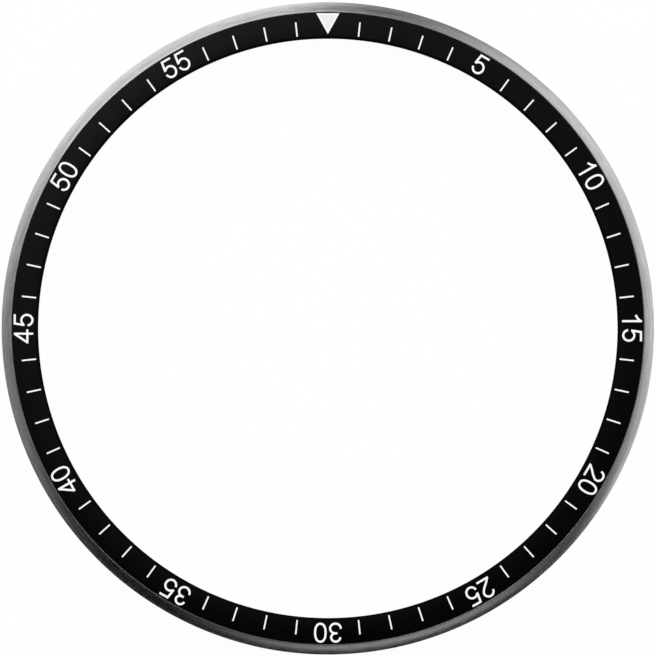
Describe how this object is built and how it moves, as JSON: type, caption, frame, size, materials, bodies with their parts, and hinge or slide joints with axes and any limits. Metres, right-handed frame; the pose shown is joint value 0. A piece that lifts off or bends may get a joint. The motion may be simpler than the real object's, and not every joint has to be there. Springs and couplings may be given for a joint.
{
  "type": "rotating watch bezel",
  "caption": "Rotating timing bezel for a round watch: a rounded steel ring with a black marked insert that turns in clicks on a carrier ring made to be screwed to the case.",
  "frame": {"origin": "centre of the bore, on the plane of the carrier's underside", "axes": "+Z along the turning axis out of the watch's face, +Y towards 12 o'clock, +X towards 3 o'clock"},
  "size_m": [0.044, 0.044, 0.0044],
  "materials": {
    "brushed_steel": "circular brushing",
    "insert_black": "satin",
    "adhesive_film": "matt film",
    "mark_white": "white lacquer",
    "lume": "fine grained luminous filling",
    "hardened_steel": "ground and tempered",
    "glide_plastic": "smooth low friction",
    "black_rubber": "moulded",
    "spring_steel": "drawn wire",
    "carrier_steel": "fine turned",
    "ball_steel": "polished"
  },
  "bodies": {
    "carrier": {"carrier_ring": "carrier_steel", "case_gasket": "black_rubber", "retaining_wire": "spring_steel", "friction_gasket": "black_rubber", "glide_washer": "glide_plastic", "detent_spring_1": "spring_steel", "detent_spring_2": "spring_steel", "detent_spring_3": "spring_steel"},
    "bezel": {"bezel_ring": "brushed_steel", "bezel_insert": "insert_black", "insert_adhesive": "adhesive_film", "minute_marks": "mark_white", "zero_marker_border": "mark_white", "zero_marker_lume": "lume", "click_ring": "hardened_steel", "click_ring_pins": "hardened_steel"},
    "ball_1": {"detent_ball_1": "ball_steel"},
    "ball_2": {"detent_ball_2": "ball_steel"},
    "ball_3": {"detent_ball_3": "ball_steel"}
  },
  "joints": [
    {"name": "bezel_turn", "type": "hinge", "parent": "carrier", "child": "bezel", "pos_m": [0, 0, 0], "axis": [0, 0, 1], "continuous": true},
    {"name": "ball_1_press", "type": "slide", "parent": "carrier", "child": "ball_1", "axis": [0, 0, 1], "range_m": [-0.0002, 0], "stiffness_N_per_m": 900, "springref_m": 0.0003, "deforming": ["detent_spring_1"]},
    {"name": "ball_2_press", "type": "slide", "parent": "carrier", "child": "ball_2", "axis": [0, 0, 1], "range_m": [-0.0002, 0], "stiffness_N_per_m": 900, "springref_m": 0.0003, "deforming": ["detent_spring_2"]},
    {"name": "ball_3_press", "type": "slide", "parent": "carrier", "child": "ball_3", "axis": [0, 0, 1], "range_m": [-0.0002, 0], "stiffness_N_per_m": 900, "springref_m": 0.0003, "deforming": ["detent_spring_3"]}
  ]
}
